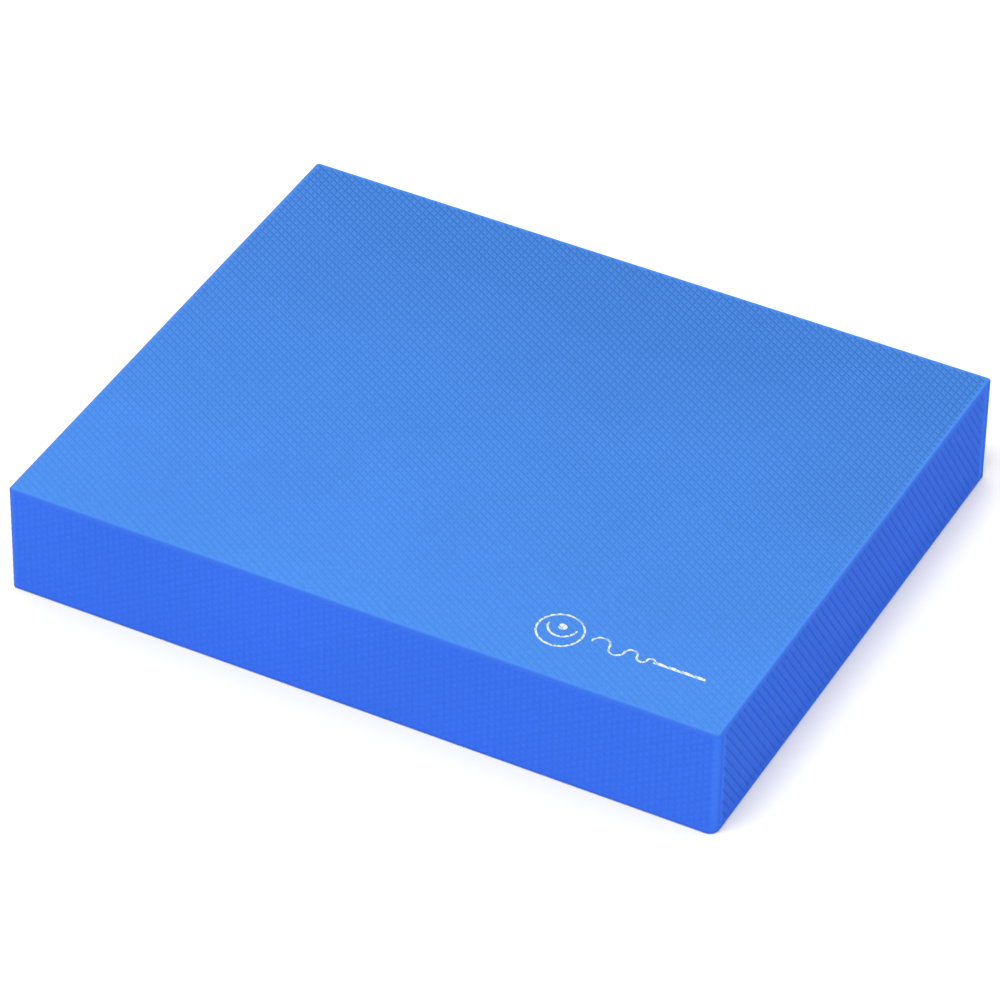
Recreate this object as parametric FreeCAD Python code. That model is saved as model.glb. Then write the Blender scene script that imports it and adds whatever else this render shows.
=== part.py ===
import FreeCAD, Part
import os
from FreeCAD import Vector

# Balance pad: a thick block of soft closed-cell foam, laminated from flat sheets and covered
# all round with a thin embossed skin of the same foam, pressed dense.
# Millimetres, +Z up. The origin is the centre of the underside, X runs along the long side,
# and the side that the printed mark reads from faces -Y.

# Driving dimensions
LENGTH = 394.0
WIDTH = 318.0
HEIGHT = 64.0
SKIN = 1.5              # thickness of the covering skins
CORNER_RADIUS = 2.0     # upright corners, outside
TOP_EDGE_RADIUS = 1.3   # hot-cut edge of the upper skin
FOOT_EDGE_RADIUS = 1.3  # lower skin, rounded over by the press
FOAM_SHEETS = 5
GAP = 0.3               # between pieces that move past each other
WRAP = 4.5              # length of the long skins' ends beyond the rounded corners

# Printed mark: a ball over a rocker inside a ring, then a wave that dies out into a level bar
INK = 0.2                            # pressed into the skin, flush with it
MARK_LEFT = 82.0
MARK_CENTRE_Y = -125.0
RING_RADIUS = 12.5
STROKE = 1.1
BALL_RADIUS = 2.3
ROCKER_RADIUS = 7.5                  # to the middle of the stroke
BALL_LIFT = 3.0                      # centre of the ball and rocker above the ring's
WAVE_START_GAP = 4.0                 # from the ring to the wave
WAVE_RADII = (4.8, 4.1, 3.4, 2.7, 2.0)
LEVEL_BAR_LENGTH = 28.0
LEVEL_BAR_HEIGHT = 1.8

# Derived dimensions
CORE_TOP = HEIGHT - SKIN
SHEET_THICKNESS = (CORE_TOP - SKIN) / FOAM_SHEETS
SEAM_Y = WIDTH / 2 - CORNER_RADIUS - WRAP


def slab(inset, bottom, top):
    """A plate with the pad's rounded outline, drawn in by inset."""
    x = LENGTH / 2 - inset
    y = WIDTH / 2 - inset
    plate = Part.makeBox(2 * x, 2 * y, top - bottom, Vector(-x, -y, bottom))
    upright = [e for e in plate.Edges if abs(e.tangentAt(e.FirstParameter).z) > 0.9]
    return plate.makeFillet(CORNER_RADIUS - inset, upright)


def edges_at(shape, z):
    """The edges that lie flat at height z."""
    return [
        e for e in shape.Edges
        if abs(e.BoundBox.ZMin - z) < 1e-6 and abs(e.BoundBox.ZMax - z) < 1e-6
    ]


def half_ring(x, y, radius, side):
    """Half of a ring of the mark's stroke, above (side 1) or below (side -1) the line y."""
    outer = radius + STROKE / 2
    inner = radius - STROKE / 2
    centre = Vector(x, y, HEIGHT - INK)
    band = Part.makeCylinder(outer, INK, centre).cut(Part.makeCylinder(inner, INK, centre))
    corner = Vector(x - outer, y if side > 0 else y - outer, HEIGHT - INK)
    return band.common(Part.makeBox(2 * outer, outer, INK, corner))


def emblem():
    """A ring, with a ball over a rocker's arc inside it."""
    x = MARK_LEFT + RING_RADIUS
    base = Vector(x, MARK_CENTRE_Y, HEIGHT - INK)
    ring = Part.makeCylinder(RING_RADIUS, INK, base).cut(
        Part.makeCylinder(RING_RADIUS - STROKE, INK, base)
    )
    rocker = half_ring(x, MARK_CENTRE_Y + BALL_LIFT, ROCKER_RADIUS, -1)
    ball = Part.makeCylinder(BALL_RADIUS, INK, base + Vector(0, BALL_LIFT, 0))
    return [ring, rocker, ball]


def dying_wave():
    """Half rings that alternate and shrink, ending in a level bar."""
    x = MARK_LEFT + 2 * RING_RADIUS + WAVE_START_GAP + STROKE / 2
    side = 1
    pieces = []
    for radius in WAVE_RADII:
        pieces.append(half_ring(x + radius, MARK_CENTRE_Y, radius, side))
        x += 2 * radius
        side = -side
    corner = Vector(x - STROKE / 2, MARK_CENTRE_Y - LEVEL_BAR_HEIGHT / 2, HEIGHT - INK)
    pieces.append(Part.makeBox(LEVEL_BAR_LENGTH, LEVEL_BAR_HEIGHT, INK, corner))
    return pieces[0].multiFuse(pieces[1:]).removeSplitter()


def printed_mark():
    """The ink, in separate patches."""
    return Part.makeCompound(emblem() + [dying_wave()])


def top_skin(mark):
    """The embossed upper skin, over the whole top, with the ink's place pressed into it."""
    plate = slab(0, CORE_TOP, HEIGHT)
    plate = plate.makeFillet(TOP_EDGE_RADIUS, edges_at(plate, HEIGHT))
    return plate.cut(mark)


def bottom_skin():
    """The lower skin, which the pad lies on."""
    plate = slab(0, 0, SKIN)
    return plate.makeFillet(FOOT_EDGE_RADIUS, edges_at(plate, 0))


def side_skins():
    """Four strips: the long ones turn the corners and meet the short ones in butt seams."""
    top = CORE_TOP - GAP
    band = slab(0, SKIN, top).cut(slab(SKIN, SKIN, top))
    strip = Part.makeBox(2 * LENGTH, WIDTH, HEIGHT, Vector(-LENGTH, SEAM_Y, 0))
    back = band.common(strip)
    front = back.mirror(Vector(0, 0, 0), Vector(0, 1, 0))
    strip = Part.makeBox(LENGTH, 2 * SEAM_Y, HEIGHT, Vector(0, -SEAM_Y, 0))
    right = band.common(strip)
    left = right.mirror(Vector(0, 0, 0), Vector(1, 0, 0))
    return {"front_skin": front, "back_skin": back, "left_skin": left, "right_skin": right}


def foam_sheet(number):
    """One sheet of the core, counted from below; the last one moves with the upper skin."""
    inset = SKIN + GAP if number == FOAM_SHEETS else SKIN
    bottom = SKIN + (number - 1) * SHEET_THICKNESS
    return slab(inset, bottom, bottom + SHEET_THICKNESS)


def solids_of(shape):
    """The shape as its bare solid, or as a compound where it has several."""
    if len(shape.Solids) == 1:
        return shape.Solids[0]
    return Part.makeCompound(shape.Solids)


mark = printed_mark()
nodes = {"top_skin": top_skin(mark), "printed_mark": mark, "bottom_skin": bottom_skin()}
nodes.update(side_skins())
for number in range(1, FOAM_SHEETS + 1):
    nodes[f"foam_sheet_{number}"] = foam_sheet(number)

os.makedirs("parts", exist_ok=True)
for name, shape in nodes.items():
    solids_of(shape).exportStep(f"parts/{name}.step")
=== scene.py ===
import math

import bmesh
import bpy
import numpy as np
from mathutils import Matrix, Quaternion, Vector
from mathutils.bvhtree import BVHTree


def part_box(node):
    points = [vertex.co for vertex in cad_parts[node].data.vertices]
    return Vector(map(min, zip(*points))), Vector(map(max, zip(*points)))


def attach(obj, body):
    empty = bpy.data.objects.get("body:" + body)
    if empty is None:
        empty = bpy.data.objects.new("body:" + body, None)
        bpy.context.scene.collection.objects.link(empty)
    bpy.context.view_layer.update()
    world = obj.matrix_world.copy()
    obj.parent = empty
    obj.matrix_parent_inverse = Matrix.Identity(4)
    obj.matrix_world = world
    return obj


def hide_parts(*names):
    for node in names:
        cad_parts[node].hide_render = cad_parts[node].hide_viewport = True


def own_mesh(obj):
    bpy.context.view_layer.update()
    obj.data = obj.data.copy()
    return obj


# The looks of a foam balance pad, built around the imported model. Lengths are in metres.
# Each embossed skin is drawn flat, in its own (along, across, depth) coordinates, then bent
# round the pad, so that the embossing turns the corners with it.

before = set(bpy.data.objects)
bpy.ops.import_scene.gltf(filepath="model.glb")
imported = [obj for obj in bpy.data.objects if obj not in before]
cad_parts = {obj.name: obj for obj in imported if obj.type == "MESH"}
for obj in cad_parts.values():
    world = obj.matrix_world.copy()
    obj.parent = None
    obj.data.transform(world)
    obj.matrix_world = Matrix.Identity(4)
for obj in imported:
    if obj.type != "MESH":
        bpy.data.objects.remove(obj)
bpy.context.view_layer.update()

MM = 0.001
TOUCHING = 1e-7                         # points this near a cutting plane count as on it

# ---- the pad's own dimensions, from the frame ----
top_lo, top_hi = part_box("top_skin")
foot_lo, foot_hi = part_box("bottom_skin")
LENGTH = top_hi.x - top_lo.x
WIDTH = top_hi.y - top_lo.y
HEIGHT = top_hi.z
SKIN = foot_hi.z
BAND_TOP = top_lo.z                     # underside of the upper skin
SEAM_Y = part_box("right_skin")[1].y      # where a short side's skin meets a long one's

CORNER_RADIUS = 2.0 * MM                # of the upright corners
WORN_RADIUS = 5.5 * MM                  # the front right one has been worn rounder at its foot
WEAR_HEIGHT = 16 * MM
TOP_EDGE_RADIUS = 1.3 * MM
FOOT_EDGE_RADIUS = 1.3 * MM
SEAM_EDGE_RADIUS = 0.35 * MM

# ---- the embossing: three families of grooves, a triangular grid ----
GROOVE_PITCH = 3.5 * MM                 # between the grooves of one family
CELL_SIDE = GROOVE_PITCH / math.sin(math.pi / 3)
EMBOSS_DEPTH = 0.9 * MM
SAME_POINT = 0.01 * MM                  # the grid's points nearer than this are one
FADE = 1.0 * MM                         # the embossing dies out this close to an edge
MAIN_HALF_WIDTH = 0.95 * MM
OTHER_HALF_WIDTH = 0.7 * MM
PAD_DEPTH = 0.06                        # share of the full depth at the corners of the pads
NODE_DEPTH = 0.75                       # and where the grooves meet
STRETCHED_FLAT = 0.6                    # how far the embossing flattens round an upright corner
BEND_PALENESS = 0.5                         # and how much paler its colour is there
BEND_REACH = 3.2 * MM                   # both within this of the corner's middle
SEAM_REACH = 1.2 * MM                   # the side skins are also worn this far from a seam


class Emboss:
    """How the grooves lie on one sheet.

    main, cross and faint are the depth shares of the three families. The main grooves run 30
    degrees down to the right on a sheet that isn't turned, and the cross ones upright. lost is
    the share of the depth that is missing at the lower end, and none is at the upper end.
    crease is how strong the crease midway between the main grooves is at the lower end and at
    the upper one. stretch is how many times longer the grid was pulled along the sheet.
    """

    def __init__(
        self, main, cross, faint=0.05, turn=0, mirror=False, stretch=1.0, lost=0.0, crease=(0.0, 0.0)
    ):
        c = math.cos(math.radians(turn))
        s = math.sin(math.radians(turn))
        self.spin = np.array([[c, s], [-s, c]])
        if mirror:
            self.spin = np.array([[-1, 0], [0, 1]]) @ self.spin
        self.mirror = mirror
        self.stretch = np.array([stretch, 1.0])
        self.main, self.cross, self.faint = main, cross, faint
        self.lost, self.crease = lost, crease

    def laid(self, points):
        """Points of the grid as they lie on the sheet."""
        return points @ self.spin * self.stretch

    def across(self, points):
        """How many pitches each point of the sheet is from the middle main groove."""
        across_main = np.array([0.5, math.cos(math.pi / 6)])
        return points / self.stretch @ self.spin.T @ across_main / GROOVE_PITCH


TOP_EMBOSS = Emboss(main=1.0, cross=0.66, lost=0.65, crease=(0.0, 1.2))
LONG_EMBOSS = Emboss(main=0.38, cross=0.32, turn=120)
SHORT_EMBOSS = Emboss(main=0.9, cross=0.12, turn=90, mirror=True, stretch=1.25, crease=(0.7, 0.7))


# ---------------------------------------------------------------- outlines

def rounded_rectangle(length, width, radii, steps):
    """Corners of a polygon about the origin, anticlockwise from its front right corner."""
    points = []
    for start, sx, sy, radius in zip((-90, 0, 90, 180), (1, 1, -1, -1), (-1, 1, 1, -1), radii):
        cx = sx * (length / 2 - radius)
        cy = sy * (width / 2 - radius)
        for i in range(steps + 1):
            a = math.radians(start + 90 * i / steps)
            points.append((cx + radius * math.cos(a), cy + radius * math.sin(a)))
    return points


def edge_normals(points):
    """Outward unit normal of each side of an anticlockwise polygon."""
    p = np.array(points)
    d = np.roll(p, -1, 0) - p
    n = np.stack([d[:, 1], -d[:, 0]], 1)
    return n / np.linalg.norm(n, axis=1)[:, None]


def offset_polygon(points, distance):
    """The polygon with every side moved outward, mitred at its corners."""
    p = np.array(points)
    n = edge_normals(points)
    before = np.roll(n, 1, 0)
    return p + distance * (n + before) / (1 + (n * before).sum(1))[:, None]


# ---------------------------------------------------------------- the embossed sheet

def grid_cell(emboss):
    """One cell of the grid: its points (in cell sides), their depths, and its triangles."""
    a = np.array([math.cos(math.pi / 6), 0.5])
    b = np.array([math.cos(math.pi / 6), -0.5])
    along_a = (OTHER_HALF_WIDTH, emboss.faint)
    along_b = (MAIN_HALF_WIDTH, emboss.main)
    along_c = (OTHER_HALF_WIDTH, emboss.cross)
    points, depths, faces = [], [], []

    def add(p, depth):
        points.append(p)
        depths.append(depth)
        return len(points) - 1

    def half(corners, sides):
        """corners of one triangle, and the family of each side that starts at that corner."""
        nodes = [add(c, NODE_DEPTH * emboss.main) for c in corners]
        mids = [add((corners[i] + corners[(i + 1) % 3]) / 2, sides[i][1]) for i in range(3)]
        pads = []
        for i in range(3):
            ahead = corners[(i + 1) % 3] - corners[i]
            behind = corners[(i + 2) % 3] - corners[i]
            shift = (behind * sides[i][0] + ahead * sides[(i + 2) % 3][0]) / GROOVE_PITCH
            pads.append(add(corners[i] + shift, PAD_DEPTH))
        faces.append(pads)
        for i in range(3):
            j = (i + 1) % 3
            faces.extend([
                (nodes[i], mids[i], pads[i]),
                (mids[i], pads[j], pads[i]),
                (mids[i], nodes[j], pads[j]),
            ])

    zero = np.zeros(2)
    half([zero, b, a], [along_b, along_c, along_a])
    half([a + b, a, b], [along_b, along_c, along_a])
    return np.array(points), np.array(depths), faces, a, b


def grid_mesh(length, width, emboss):
    """The embossing over a rectangle about the origin, as points (x, y, depth) and triangles."""
    cell, depths, cell_faces, a, b = grid_cell(emboss)
    reach = math.hypot(length, width) / 2 + 2 * CELL_SIDE
    n = int(reach / GROOVE_PITCH) + 2
    i, j = np.meshgrid(np.arange(-n, n + 1), np.arange(-n, n + 1), indexing="ij")
    origins = emboss.laid((i.reshape(-1, 1) * a + j.reshape(-1, 1) * b) * CELL_SIDE)
    local = emboss.laid(cell * CELL_SIDE)
    margin = 3 * CELL_SIDE
    keep = (np.abs(origins[:, 0]) < length / 2 + margin)
    keep &= (np.abs(origins[:, 1]) < width / 2 + margin)
    origins = origins[keep]
    xy = (origins[:, None, :] + local[None, :, :]).reshape(-1, 2)
    z = np.tile(depths, len(origins))
    order = np.array(cell_faces)
    if emboss.mirror:
        order = order[:, ::-1]
    faces = (np.arange(len(origins))[:, None, None] * len(cell) + order[None]).reshape(-1, 3)
    # the cells share their edges' points
    key = np.round(xy / SAME_POINT).astype(np.int64)
    row = 10**7                             # more than the keys' whole range in y
    _, first, back = np.unique(key[:, 0] * row + key[:, 1], return_index=True, return_inverse=True)
    return np.column_stack([xy, z])[first], back.reshape(-1)[faces]


def parts_of(faces):
    """The faces with their edges and vertices, as bmesh's operators want them.

    Dictionaries keep them in the same order in every run, which sets wouldn't.
    """
    edges = dict.fromkeys(e for f in faces for e in f.edges)
    verts = dict.fromkeys(v for f in faces for v in f.verts)
    return list(verts) + list(edges) + list(faces)


def cut_to(bm, points):
    """Trims the flat mesh to a convex polygon."""
    for (px, py), (nx, ny) in zip(points, edge_normals(points)):
        outside = [v for v in bm.verts if (v.co.x - px) * nx + (v.co.y - py) * ny > -TOUCHING]
        faces = dict.fromkeys(f for v in outside for f in v.link_faces)
        bmesh.ops.bisect_plane(
            bm, geom=parts_of(faces), dist=TOUCHING,
            plane_co=(px, py, 0), plane_no=(nx, ny, 0), clear_outer=True,
        )


def divide_at(bm, faces, x):
    """Divides faces along the line across the sheet at x, and returns the faces there then."""
    made = bmesh.ops.bisect_plane(
        bm, geom=parts_of(faces), dist=TOUCHING, plane_co=(x, 0, 0), plane_no=(1, 0, 0)
    )
    return [g for g in made["geom"] if isinstance(g, bmesh.types.BMFace)]


def ring_of(bm):
    """The boundary's vertices, in order round the mesh, anticlockwise."""
    after = {}
    for e in bm.edges:
        if e.is_boundary:
            loop = e.link_loops[0]
            after[loop.vert] = loop.link_loop_next.vert
    start = next(iter(after))
    ring = [start]
    while after[ring[-1]] is not start:
        ring.append(after[ring[-1]])
    return ring


def places_on(points, ring):
    """For each ring vertex, the polygon's side that it is on, and how far along."""
    p = np.array(points)
    d = np.roll(p, -1, 0) - p
    length2 = (d * d).sum(1)
    places = []
    for v in ring:
        q = np.array([v.co.x, v.co.y])
        t = np.clip(((q - p) * d).sum(1) / length2, 0, 1)
        gap = np.linalg.norm(p + t[:, None] * d - q, axis=1)
        i = int(gap.argmin())
        places.append((i, float(t[i])))
    return places


def flat_grid(points, emboss):
    """The grid cut to the polygon. Until it is pressed, z holds the depth shares, times MM."""
    length = 2 * max(abs(x) for x, _ in points)
    width = 2 * max(abs(y) for _, y in points)
    xyz, faces = grid_mesh(length, width, emboss)
    mesh = bpy.data.meshes.new("flat")
    mesh.from_pydata(xyz.tolist(), [], faces.tolist())
    bm = bmesh.new()
    bm.from_mesh(mesh)
    bpy.data.meshes.remove(mesh)
    for v in bm.verts:
        v.co.z *= MM
    cut_to(bm, points)
    return bm


def press(bm, points, emboss, turns_corners):
    """Presses the grooves in, and notes depth shares, paleness round the corners and creases on the
    vertices.
    """
    co = np.array([v.co for v in bm.verts])
    inside = (((np.array(points)[None] - co[:, None, :2]) * edge_normals(points)[None]).sum(2)).min(1)
    fade = np.clip(inside / FADE, 0, 1)
    fade = fade * fade * (3 - 2 * fade)
    bent = np.zeros(len(co))
    if turns_corners:
        bent = np.clip(1 - np.abs(np.abs(co[:, 0]) - CORNER_MIDDLE) / BEND_REACH, 0, 1)
    up = 0.5 + co[:, 1] / (2 * max(abs(y) for _, y in points))
    left = 1 - emboss.lost * (1 - up)
    depths = co[:, 2] / MM * fade * left * (1 - STRETCHED_FLAT * bent)
    at_lower, at_upper = emboss.crease
    creases = (at_lower + (at_upper - at_lower) * up) * fade
    relief = bm.verts.layers.float.new("relief")
    edge = bm.verts.layers.float.new("edge")
    crease = bm.verts.layers.float.new("crease")
    for v, d, c, w in zip(bm.verts, depths, creases, bent):
        v[relief] = d
        v[crease] = c
        v[edge] = BEND_PALENESS * w
        v.co.z = -d * EMBOSS_DEPTH


def close_sheet(bm, points, profile, thickness):
    """Adds the edge all round and the back, and returns the back's face."""
    edge = bm.verts.layers.float["edge"]
    ring = ring_of(bm)
    places = places_on(points, ring)
    # 0 to 2 round the edge: on the top skin this carries the painted shade of its rim colour
    edge_shares = [2 * (i + 1) / len(profile) for i in range(len(profile))] + [2.0]
    for (outset, drop), edge_share in zip(profile + [(profile[-1][0], thickness)], edge_shares):
        outline = offset_polygon(points, outset)
        following = np.roll(outline, -1, 0)
        new = []
        for i, t in places:
            x, y = outline[i] * (1 - t) + following[i] * t
            new.append(bm.verts.new((x, y, -drop)))
            new[-1][edge] = edge_share
        for k in range(len(ring)):
            m = (k + 1) % len(ring)
            bm.faces.new((ring[k], new[k], new[m], ring[m])[::-1])
        ring = new
    return bm.faces.new(ring[::-1])


def embossed_sheet(points, profile, thickness, emboss, bends=()):
    """A flat closed sheet as a bmesh, its outer face at z 0 with the embossing pressed into it.

    profile lists (outset, drop) from the polygon, outwards and down round the edge. bends are
    the places to the right of the middle where the sheet will be bent round a corner: its faces
    are divided there, and on the left too. The vertices carry what the materials need: the
    depth share, the crease's strength, how many pitches they lie from the middle main groove,
    and the edge, from 0 on the face through 1 halfway round the edge to 2 where it is upright.
    """
    bm = flat_grid(points, emboss)
    both_ways = [-x for x in bends] + list(bends)
    for x in both_ways:
        near = [f for f in bm.faces if min(abs(v.co.x - x) for v in f.verts) < 2 * CELL_SIDE]
        divide_at(bm, near, x)
    press(bm, points, emboss, bool(bends))
    columns = [close_sheet(bm, points, profile, thickness)]
    for x in both_ways:
        columns = divide_at(bm, columns, x)
    across = bm.verts.layers.float.new("across")
    for v in bm.verts:
        v[across] = emboss.across(np.array(v.co[:2]))
    return bm


def edge_profile(radius, steps):
    """A quarter round, from where it leaves the face to where it is upright."""
    turns = [math.pi / 2 * i / steps for i in range(1, steps + 1)]
    return [(radius * math.sin(a), radius * (1 - math.cos(a))) for a in turns]


SHARP_ANGLE = math.radians(80)


def place(bm, move, name, body):
    """Moves every vertex through move(x, y, z) and makes the piece."""
    for v in bm.verts:
        v.co = move(*v.co)
    bmesh.ops.recalc_face_normals(bm, faces=bm.faces)
    mesh = bpy.data.meshes.new(name)
    bm.to_mesh(mesh)
    bm.free()
    mesh.shade_smooth()
    mesh.set_sharp_from_angle(angle=SHARP_ANGLE)
    piece = bpy.data.objects.new(name, mesh)
    bpy.context.scene.collection.objects.link(piece)
    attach(piece, body)
    return piece


# ---------------------------------------------------------------- materials

def shader(name, specular):
    """A new node material and its principled shader."""
    material = bpy.data.materials.new(name)
    material.use_nodes = True
    tree = material.node_tree
    surface = tree.nodes["Principled BSDF"]
    surface.inputs["Specular IOR Level"].default_value = specular
    return material, tree, surface


def place_node(tree):
    """The point's place in the piece's own frame."""
    return tree.nodes.new("ShaderNodeTexCoord").outputs["Object"]


def noise(tree, place, size, detail=2.0, rough=0.5):
    """Noise whose features are about size across, 0 to 1."""
    node = tree.nodes.new("ShaderNodeTexNoise")
    node.inputs["Scale"].default_value = 1 / size
    node.inputs["Detail"].default_value = detail
    node.inputs["Roughness"].default_value = rough
    tree.links.new(place, node.inputs["Vector"])
    return node.outputs["Fac"]


def spread(tree, value, low, high, to_low, to_high):
    """value remapped from low..high to to_low..to_high, held at the ends."""
    node = tree.nodes.new("ShaderNodeMapRange")
    tree.links.new(value, node.inputs["Value"])
    for label, number in (("From Min", low), ("From Max", high), ("To Min", to_low), ("To Max", to_high)):
        node.inputs[label].default_value = number
    return node.outputs["Result"]


def mixed(tree, share, first, second):
    """first and second, each a colour or a socket, mixed by the socket share."""
    node = tree.nodes.new("ShaderNodeMix")
    node.data_type = "RGBA"
    tree.links.new(share, node.inputs["Factor"])
    colour_a, colour_b, result = node.inputs[6], node.inputs[7], node.outputs[2]
    for socket, colour in ((colour_a, first), (colour_b, second)):
        if isinstance(colour, tuple):
            socket.default_value = (*colour, 1.0)
        else:
            tree.links.new(colour, socket)
    return result


def attribute(tree, name):
    """A number that the vertices carry."""
    node = tree.nodes.new("ShaderNodeAttribute")
    node.attribute_name = name
    return node.outputs["Fac"]


def bumped(tree, surface, height, distance, under=None):
    """A bump from height, over another bump if under is given."""
    node = tree.nodes.new("ShaderNodeBump")
    node.inputs["Distance"].default_value = distance
    tree.links.new(height, node.inputs["Height"])
    if under is not None:
        tree.links.new(under, node.inputs["Normal"])
    tree.links.new(node.outputs["Normal"], surface.inputs["Normal"])
    return node.outputs["Normal"]


def times(tree, first, second):
    """The product of two sockets."""
    node = tree.nodes.new("ShaderNodeMath")
    node.operation = "MULTIPLY"
    tree.links.new(first, node.inputs[0])
    tree.links.new(second, node.inputs[1])
    return node.outputs[0]


NOISE_RANGE = (0.3, 0.7)                # most of the noise lies between these


def patchy(tree, at, size, to_low, to_high, detail=2.0):
    """Soft patches about size across, from to_low to to_high."""
    return spread(tree, noise(tree, at, size, detail), *NOISE_RANGE, to_low, to_high)


def near_middle(tree, value, reach):
    """1 midway between whole numbers, falling to 0 within reach of there."""
    node = tree.nodes.new("ShaderNodeMath")
    node.operation = "PINGPONG"
    node.inputs[1].default_value = 0.5
    tree.links.new(value, node.inputs[0])
    return spread(tree, node.outputs[0], 0.5 - reach, 0.5, 0.0, 1.0)


# The top skin's blue is lighter and greener than the sides': painted sheen, standing for the light the
# top catches from above.
TOP_BLUE_PAINTED_SHEEN = (0.051, 0.186, 0.566)
SIDE_BLUE = (0.034, 0.131, 0.685)
# Darker blue over the top skin's edge and down its upright band: painted shade where the skin turns away
# from the light above.
RIM_BLUE_PAINTED_SHADE = (0.035, 0.121, 0.53)
SEAM_BLUE = (0.041, 0.153, 0.71)
DARK_TONE_AND_SHADE = 0.45                             # of the colour: the darker tone of the random patches and mottling, and the painted shade at the bottom of a groove and in the crease
CREASE_REACH = 0.13                     # in groove pitches, to each side
CLOUD = 90 * MM
MOTTLE = 2.6 * MM
PEBBLE = 1.6 * MM
PEBBLE_HEIGHT = 0.05 * MM
GRAIN = 0.35 * MM
GRAIN_HEIGHT = 0.03 * MM


def skin_material(name, colour, pale, rim, groove_shade, crease_shade, crease_depth):
    """Dense foam skin, finely pebbled, patchy and mottled, with painted shade in its grooves and in
    the faint crease midway between them, and turning pale and then rim coloured as the edge value
    rises: paler round the corners and at the seams, painted shade over the top skin's edge."""
    material, tree, surface = shader(name, specular=0.03)
    dark_tone_and_shade = tuple(DARK_TONE_AND_SHADE * c for c in colour)
    at = place_node(tree)
    tone = mixed(tree, patchy(tree, at, CLOUD, 0.0, 0.1), colour, dark_tone_and_shade)
    mottled = spread(tree, noise(tree, at, MOTTLE, 3), 0.35, 0.75, 0.0, 0.14)
    tone = mixed(tree, mottled, tone, dark_tone_and_shade)
    midway = near_middle(tree, attribute(tree, "across"), CREASE_REACH)
    crease = times(tree, midway, attribute(tree, "crease"))
    # painted shade in the faint crease midway between the main grooves, which is otherwise only a bump
    tone = mixed(tree, spread(tree, crease, 0.0, 1.0, 0.0, crease_shade), tone, dark_tone_and_shade)
    # painted shade in the grooves, darker the deeper the point lies
    groove = spread(tree, attribute(tree, "relief"), 0.1, 0.95, 0.0, groove_shade)
    tone = mixed(tree, groove, tone, dark_tone_and_shade)
    edge = attribute(tree, "edge")
    tone = mixed(tree, spread(tree, edge, 0.0, 1.0, 0.0, 0.7), tone, pale)
    # rim colour: on the top skin painted shade over its edge and upright band, on the sides the seams'
    # paler blue
    tone = mixed(tree, spread(tree, edge, 0.0, 1.0, 0.0, 1.0), tone, rim)
    tree.links.new(tone, surface.inputs["Base Color"])
    tree.links.new(patchy(tree, at, 6 * MM, 0.62, 0.78, detail=3), surface.inputs["Roughness"])
    grain = bumped(tree, surface, noise(tree, at, GRAIN), GRAIN_HEIGHT)
    pebbles = bumped(tree, surface, noise(tree, at, PEBBLE), PEBBLE_HEIGHT, under=grain)
    bumped(tree, surface, spread(tree, crease, 0.0, 1.0, 1.0, 0.0), crease_depth, under=pebbles)
    return material


top_material = skin_material(
    "top_skin_foam", TOP_BLUE_PAINTED_SHEEN, pale=TOP_BLUE_PAINTED_SHEEN, rim=RIM_BLUE_PAINTED_SHADE,
    groove_shade=0.82, crease_shade=0.48, crease_depth=0.09 * MM,
)
side_material = skin_material(
    "side_skin_foam", SIDE_BLUE, pale=SEAM_BLUE, rim=SEAM_BLUE,
    groove_shade=0.55, crease_shade=0.32, crease_depth=0.08 * MM,
)
foot_material = skin_material(
    "bottom_skin_foam", TOP_BLUE_PAINTED_SHEEN, pale=SIDE_BLUE, rim=SIDE_BLUE,
    groove_shade=0.82, crease_shade=0.48, crease_depth=0.09 * MM,
)


INK_GREY = (0.5, 0.56, 0.62)
INK_WHITE = (0.6, 0.64, 0.68)


def ink_material():
    """White screen print that missed the grooves, and small specks elsewhere."""
    material, tree, surface = shader("white_print", specular=0.3)
    at = place_node(tree)
    tone = mixed(tree, noise(tree, at, 5 * MM), INK_GREY, INK_WHITE)
    missed = spread(tree, attribute(tree, "relief"), 0.12, 0.34, 0.0, 0.8)
    tone = mixed(tree, missed, tone, TOP_BLUE_PAINTED_SHEEN)
    specks = spread(tree, noise(tree, at, 0.9 * MM, 3, 0.6), 0.56, 0.66, 0.0, 0.8)
    tone = mixed(tree, specks, tone, TOP_BLUE_PAINTED_SHEEN)
    tree.links.new(tone, surface.inputs["Base Color"])
    tree.links.new(patchy(tree, at, 3 * MM, 0.42, 0.6), surface.inputs["Roughness"])
    bumped(tree, surface, noise(tree, at, 0.3 * MM), 0.02 * MM)
    return material


CELL = 0.9 * MM
CELL_BLUE = (0.035, 0.14, 0.55)
WALL_BLUE = (0.08, 0.24, 0.72)
DEEPER_BLUE = (0.03, 0.12, 0.5)         # in patches


def foam_material():
    """Cut closed-cell foam: small cells with paler walls."""
    material, tree, surface = shader("foam_core", specular=0.2)
    at = place_node(tree)
    cells = tree.nodes.new("ShaderNodeTexVoronoi")
    cells.feature = "DISTANCE_TO_EDGE"
    cells.inputs["Scale"].default_value = 1 / CELL
    tree.links.new(at, cells.inputs["Vector"])
    wall = spread(tree, cells.outputs["Distance"], 0.0, 0.18, 1.0, 0.0)
    tone = mixed(tree, wall, CELL_BLUE, WALL_BLUE)
    tone = mixed(tree, patchy(tree, at, 30 * MM, 0.0, 0.3), tone, DEEPER_BLUE)
    tree.links.new(tone, surface.inputs["Base Color"])
    tree.links.new(patchy(tree, at, 4 * MM, 0.72, 0.9), surface.inputs["Roughness"])
    bumped(tree, surface, cells.outputs["Distance"], 0.25 * MM)
    return material


# ---------------------------------------------------------------- the skins

BEND_STEPS = 6                          # sides of an upright corner's quarter round
STRIP_BENDS = 16                        # columns of a long strip where it turns a corner
TOP_EDGE_STEPS = 4
SEAM_EDGE_STEPS = 3


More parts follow.
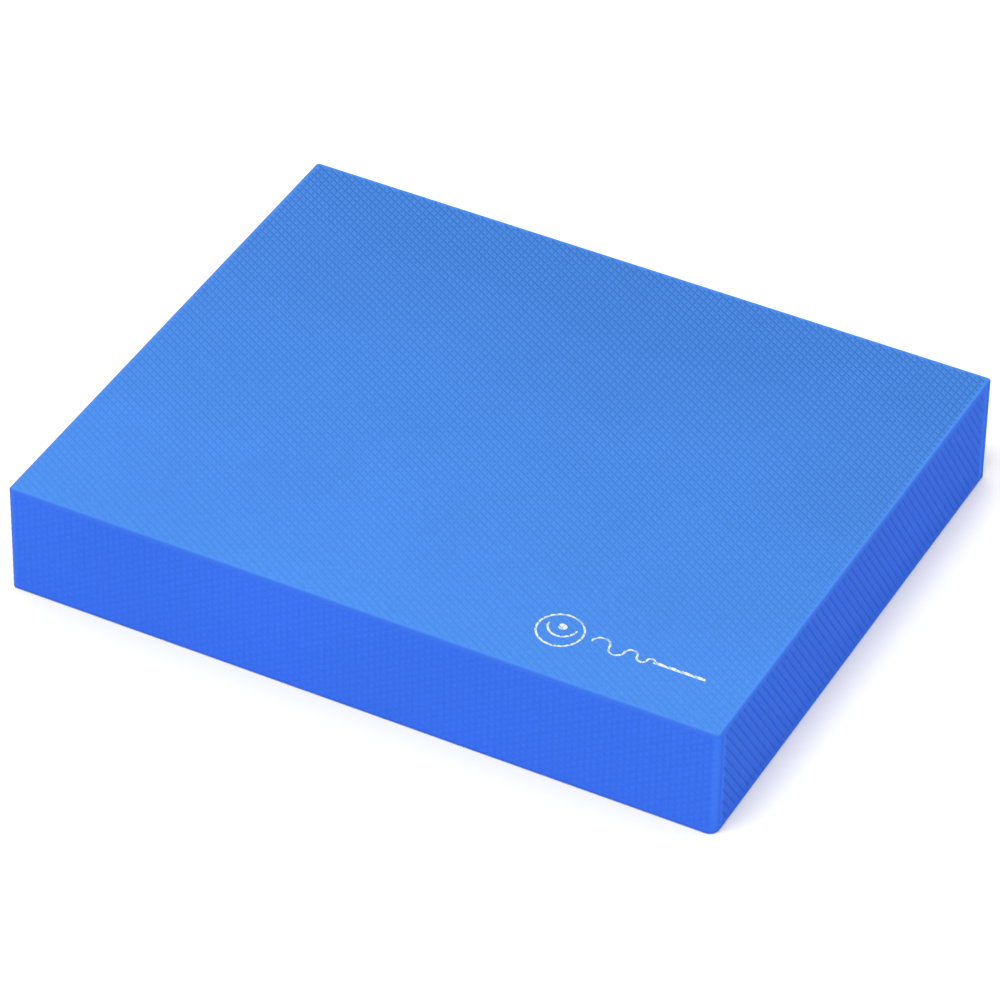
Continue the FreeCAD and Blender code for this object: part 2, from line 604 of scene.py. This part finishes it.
def finish_skin(piece, node, material):
    """The skin's material, and what the skin stands for."""
    piece.data.materials.append(material)
    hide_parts(node)
    return piece


def flat_skin(name, body, node, material, corners, radius, up):
    """The upper skin (up 1) or the lower one (up -1). The lower one is drawn mirrored."""
    lo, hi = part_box(node)
    points = rounded_rectangle(
        hi.x - lo.x - 2 * radius, hi.y - lo.y - 2 * radius, [c - radius for c in corners], BEND_STEPS
    )
    bm = embossed_sheet(points, edge_profile(radius, TOP_EDGE_STEPS), hi.z - lo.z, TOP_EMBOSS)
    if up > 0:
        piece = place(bm, lambda x, y, z: Vector((x, y, hi.z + z)), name, body)
    else:
        piece = place(bm, lambda x, y, z: Vector((x, -y, lo.z - z)), name, body)
    return finish_skin(piece, node, material)


def worn_radius(height):
    """The front right corner's radius at a height."""
    low = max(0.0, 1 - (height - SKIN) / WEAR_HEIGHT)
    return CORNER_RADIUS + (WORN_RADIUS - CORNER_RADIUS) * low * low


# along a long strip from its middle: to the last straight place, and to the corner's middle
LAST_STRAIGHT = LENGTH / 2 - WORN_RADIUS
CORNER_MIDDLE = LENGTH / 2 - CORNER_RADIUS + CORNER_RADIUS * math.pi / 4


def strip_end(radius):
    """How far the end of a long strip is from its last straight place, round such a corner."""
    return WORN_RADIUS - radius + radius * math.pi / 2 + WIDTH / 2 - radius - SEAM_Y


def around_front(x, y, z, worn=True):
    """From a long side's flat strip to the pad: straight along the front, round both corners."""
    side = 1 if x > 0 else -1
    radius = worn_radius(y) if worn and x > 0 else CORNER_RADIUS
    beyond = abs(x) - LAST_STRAIGHT
    if beyond > 0:
        beyond *= strip_end(radius) / strip_end(CORNER_RADIUS)
    beyond += radius - WORN_RADIUS
    half = LENGTH / 2 - radius
    turned = radius * math.pi / 2
    if beyond <= 0:
        return Vector((side * (half + beyond), -WIDTH / 2 - z, y))
    if beyond >= turned:
        return Vector((side * (LENGTH / 2 + z), -WIDTH / 2 + radius + beyond - turned, y))
    angle = beyond / radius
    out = radius + z
    return Vector((side * (half + out * math.sin(angle)), -WIDTH / 2 + radius - out * math.cos(angle), y))


def around_back(x, y, z):
    """The same round the back, where no corner is worn."""
    p = around_front(x, y, z, worn=False)
    return Vector((-p.x, -p.y, p.z))


def side_skin(name, node, strip_length, emboss, move):
    """One strip of the side covering, from the lower skin up to the upper one."""
    r = SEAM_EDGE_RADIUS
    middle = (SKIN + BAND_TOP) / 2
    half_x = strip_length / 2 - r
    half_y = (BAND_TOP - SKIN) / 2 - r
    points = [(half_x, -half_y), (half_x, half_y), (-half_x, half_y), (-half_x, -half_y)]
    bends = []
    if strip_length > LENGTH:               # it turns the corners
        reach = 2 * (CORNER_MIDDLE - LAST_STRAIGHT)
        bends = [LAST_STRAIGHT + reach * i / STRIP_BENDS for i in range(STRIP_BENDS + 1)]
    bm = embossed_sheet(points, edge_profile(r, SEAM_EDGE_STEPS), SKIN, emboss, bends)
    edge = bm.verts.layers.float["edge"]
    for v in bm.verts:
        near_seam = 1 - (strip_length / 2 - abs(v.co.x)) / SEAM_REACH
        v[edge] = max(v[edge], near_seam)
    piece = place(bm, lambda x, y, z: move(x, y + middle, z), name, "base")
    finish_skin(piece, node, side_material)
    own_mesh(piece)


top_piece = flat_skin(
    "top_skin_embossed", "top", "top_skin", top_material,
    [CORNER_RADIUS] * 4, TOP_EDGE_RADIUS, 1,
)
flat_skin(
    "bottom_skin_embossed", "base", "bottom_skin", foot_material,
    [CORNER_RADIUS, WORN_RADIUS, CORNER_RADIUS, CORNER_RADIUS], FOOT_EDGE_RADIUS, -1,
)

LONG_STRIP = 2 * (LAST_STRAIGHT + strip_end(CORNER_RADIUS))
SHORT_STRIP = 2 * SEAM_Y

side_skin("front_skin_embossed", "front_skin", LONG_STRIP, LONG_EMBOSS, around_front)
side_skin("back_skin_embossed", "back_skin", LONG_STRIP, LONG_EMBOSS, around_back)
side_skin(
    "right_skin_embossed", "right_skin", SHORT_STRIP, SHORT_EMBOSS,
    lambda x, y, z: Vector((LENGTH / 2 + z, x, y)),
)
side_skin(
    "left_skin_embossed", "left_skin", SHORT_STRIP, SHORT_EMBOSS,
    lambda x, y, z: Vector((-LENGTH / 2 - z, -x, y)),
)


# ---------------------------------------------------------------- the printed mark

mark_lo, mark_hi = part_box("printed_mark")
RING_RADIUS = (mark_hi.y - mark_lo.y) / 2
MARK_Y = (mark_hi.y + mark_lo.y) / 2
STROKE = 1.1 * MM
BALL_RADIUS = 2.3 * MM
ROCKER_RADIUS = 7.5 * MM
BALL_LIFT = 3.0 * MM
WAVE_START_GAP = 4.0 * MM
WAVE_RADII = [r * MM for r in (4.8, 4.1, 3.4, 2.7, 2.0)]
LEVEL_BAR_HEIGHT = 1.8 * MM
INK_STEP = 0.25 * MM
INK_PROUD = 0.06 * MM
INK_DEPTH = 0.1 * MM
MIN_ARC_STEPS = 8
MIN_BAND_STEPS = 4                      # across a stroke
PINHOLE = 0.02 * MM                     # across the hole left in the middle of the ball


def arc_path(cx, cy, radius, start, end):
    """Points round an arc, in degrees, about one ink step apart."""
    n = max(MIN_ARC_STEPS, int(abs(math.radians(end - start)) * radius / INK_STEP))
    angles = [math.radians(start + (end - start) * i / n) for i in range(n + 1)]
    return [(cx + radius * math.cos(a), cy + radius * math.sin(a)) for a in angles]


def ink_strip(bm, path, width, ground, closed=False):
    """A band of ink along a path, lying on the embossing, as a thin closed solid."""
    p = np.array(path)
    if closed:
        ahead = np.roll(p, -1, 0) - np.roll(p, 1, 0)
    else:
        ahead = np.gradient(p, axis=0)
    normal = np.stack([-ahead[:, 1], ahead[:, 0]], 1) / np.linalg.norm(ahead, axis=1)[:, None]
    across = max(MIN_BAND_STEPS, int(round(width / INK_STEP)))
    relief = bm.verts.layers.float["relief"]
    rows = []
    for q, n in zip(p, normal):
        line = [q + n * width * (k / across - 0.5) for k in range(across + 1)]
        tops = [ground(x, y) + INK_PROUD for x, y in line]
        upper = [bm.verts.new((x, y, z)) for (x, y), z in zip(line, tops)]
        for v in upper:
            v[relief] = (HEIGHT + INK_PROUD - v.co.z) / EMBOSS_DEPTH
        lower = [bm.verts.new((x, y, z - INK_DEPTH)) for (x, y), z in zip(line, tops)]
        rows.append(upper + lower[::-1])
    around = len(rows[0])
    following = rows[1:] + rows[:1] if closed else rows[1:]
    for a, b in zip(rows, following):
        for k in range(around):
            m = (k + 1) % around
            bm.faces.new((a[k], b[k], b[m], a[m]))
    if not closed:
        bm.faces.new(rows[0])
        bm.faces.new(rows[-1][::-1])


def emblem(bm, ground):
    """A ring, with a ball over a rocker's arc inside it."""
    cx = mark_lo.x + RING_RADIUS
    ring = arc_path(cx, MARK_Y, RING_RADIUS - STROKE / 2, 0, 360)[:-1]
    ink_strip(bm, ring, STROKE, ground, closed=True)
    cy = MARK_Y + BALL_LIFT
    ink_strip(bm, arc_path(cx, cy, ROCKER_RADIUS, 180, 360), STROKE, ground)
    ball = arc_path(cx, cy, BALL_RADIUS / 2, 0, 360)[:-1]
    ink_strip(bm, ball, BALL_RADIUS - PINHOLE, ground, closed=True)


def dying_wave(bm, ground):
    """Half rings that alternate and shrink, ending in a level bar."""
    x = mark_lo.x + 2 * RING_RADIUS + WAVE_START_GAP + STROKE / 2
    path = []
    turn = 1
    for radius in WAVE_RADII:
        half = arc_path(x + radius, MARK_Y, radius, 180, 180 - 180 * turn)
        path += half[1:] if path else half
        x += 2 * radius
        turn = -turn
    down = int(LEVEL_BAR_HEIGHT / 2 / INK_STEP)
    path += [(x, MARK_Y - LEVEL_BAR_HEIGHT / 2 * (i + 1) / down) for i in range(down)]
    ink_strip(bm, path, STROKE, ground)
    start = x + STROKE / 2
    n = int((mark_hi.x - start) / INK_STEP)
    bar = [(start + (mark_hi.x - start) * i / n, MARK_Y) for i in range(n + 1)]
    ink_strip(bm, bar, LEVEL_BAR_HEIGHT, ground)


def printed_mark():
    """The ink, in separate patches."""
    tree = BVHTree.FromObject(top_piece, bpy.context.evaluated_depsgraph_get())

    def ground(x, y):
        """The height of the embossed top there."""
        return tree.ray_cast(Vector((x, y, HEIGHT + SKIN)), Vector((0, 0, -1)))[0].z

    bm = bmesh.new()
    bm.verts.layers.float.new("relief")
    emblem(bm, ground)
    dying_wave(bm, ground)
    piece = place(bm, lambda x, y, z: Vector((x, y, z)), "printed_mark_ink", "top")
    piece.data.materials.append(ink_material())
    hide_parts("printed_mark")


printed_mark()


# ---------------------------------------------------------------- the foam core

FOAM_SHEETS = 5
FOAM_STEPS = 110                        # along each side of a sheet
FOAM_ROWS = 6                           # up its cut edge
FOAM_RAGGED = 0.12 * MM                 # how far the cut edge is drawn in at most
foam_blue = foam_material()


def foam_sheet(number, body):
    """A cut sheet of foam: flat where it is glued, slightly ragged round its cut edge."""
    node = f"foam_sheet_{number}"
    lo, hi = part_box(node)
    rng = np.random.default_rng(number)
    bm = bmesh.new()
    rings = []
    for z in np.linspace(lo.z, hi.z, FOAM_ROWS):
        radii = [worn_radius(z) - SKIN] + [CORNER_RADIUS - SKIN] * 3
        corners = np.array(rounded_rectangle(hi.x - lo.x, hi.y - lo.y, radii, BEND_STEPS))
        points = []
        for k, (a, b) in enumerate(zip(corners, np.roll(corners, -1, 0))):
            n = 1 if (k + 1) % (BEND_STEPS + 1) else FOAM_STEPS
            points += [a + (b - a) * i / n for i in range(n)]
        drawn_in = 1 - rng.uniform(0, FOAM_RAGGED, len(points)) / (WIDTH / 2)
        rings.append([bm.verts.new((x * s, y * s, z)) for (x, y), s in zip(points, drawn_in)])
    for a, b in zip(rings, rings[1:]):
        for k in range(len(a)):
            m = (k + 1) % len(a)
            bm.faces.new((a[k], a[m], b[m], b[k]))
    bm.faces.new(rings[0][::-1])
    bm.faces.new(rings[-1])
    piece = place(bm, lambda x, y, z: Vector((x, y, z)), node + "_cut", body)
    piece.data.materials.append(foam_blue)
    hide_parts(node)
    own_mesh(piece)


for number in range(1, FOAM_SHEETS):
    foam_sheet(number, "base")
foam_sheet(FOAM_SHEETS, "top")


# ---------------------------------------------------------------- the room

FLOOR_SIZE = 30
FLOOR_CLOUD = 0.4
PAPER = (0.78, 0.765, 0.725)
PALER_PAPER = (0.79, 0.775, 0.735)


def floor():
    """Pale paper, slightly cloudy."""
    bpy.ops.mesh.primitive_plane_add(size=FLOOR_SIZE, location=(0, 0, 0))
    plane = bpy.context.active_object
    plane.name = "floor"
    material, tree, surface = shader("floor_paper", specular=0.1)
    surface.inputs["Roughness"].default_value = 0.9
    cloudy = patchy(tree, place_node(tree), FLOOR_CLOUD, 0.0, 1.0)
    tree.links.new(mixed(tree, cloudy, PAPER, PALER_PAPER), surface.inputs["Base Color"])
    plane.data.materials.append(material)


def direction(azimuth, elevation):
    """The way towards a light or camera: azimuth 0 is in front, 90 to the right."""
    a, e = math.radians(azimuth), math.radians(elevation)
    return Vector((math.sin(a) * math.cos(e), -math.cos(a) * math.cos(e), math.sin(e)))


KEY_AZIMUTH = -6
KEY_ELEVATION = 70
KEY_DISTANCE = 4.0
KEY_SIZE = 1.4
KEY_POWER = 80
SKY_STRENGTH = 1.24


def lights():
    """An even white sky, and one softbox high in front."""
    world = bpy.data.worlds.new("studio")
    bpy.context.scene.world = world
    world.use_nodes = True
    sky = world.node_tree.nodes["Background"]
    sky.inputs["Color"].default_value = (1.0, 1.0, 1.0, 1.0)
    sky.inputs["Strength"].default_value = SKY_STRENGTH
    data = bpy.data.lights.new("key", "AREA")
    data.size = KEY_SIZE
    data.energy = KEY_POWER
    lamp = bpy.data.objects.new("key", data)
    away = direction(KEY_AZIMUTH, KEY_ELEVATION)
    lamp.location = away * KEY_DISTANCE
    lamp.rotation_mode = "QUATERNION"
    lamp.rotation_quaternion = away.to_track_quat("Z", "Y")
    bpy.context.scene.collection.objects.link(lamp)


CAMERA_AZIMUTH = 26.92
CAMERA_ELEVATION = 38.77
CAMERA_ROLL = 1.09
CAMERA_DISTANCE = 3.042
CAMERA_AIM = Vector((0.00425, -0.01435, HEIGHT / 2))
CAMERA_LENS = 216.5
SENSOR = 36.0
CLIP_END = 100


def camera():
    """A long lens from the front right, above."""
    data = bpy.data.cameras.new("camera")
    data.sensor_width = SENSOR
    data.lens = CAMERA_LENS
    data.clip_end = CLIP_END
    eye = bpy.data.objects.new("camera", data)
    back = direction(CAMERA_AZIMUTH, CAMERA_ELEVATION)
    eye.location = CAMERA_AIM + back * CAMERA_DISTANCE
    eye.rotation_mode = "QUATERNION"
    eye.rotation_quaternion = back.to_track_quat("Z", "Y")
    roll = Quaternion((0, 0, 1), math.radians(CAMERA_ROLL))
    eye.rotation_quaternion = eye.rotation_quaternion @ roll
    bpy.context.scene.collection.objects.link(eye)
    bpy.context.scene.camera = eye


floor()
lights()
camera()
bpy.context.scene.view_settings.view_transform = "Standard"
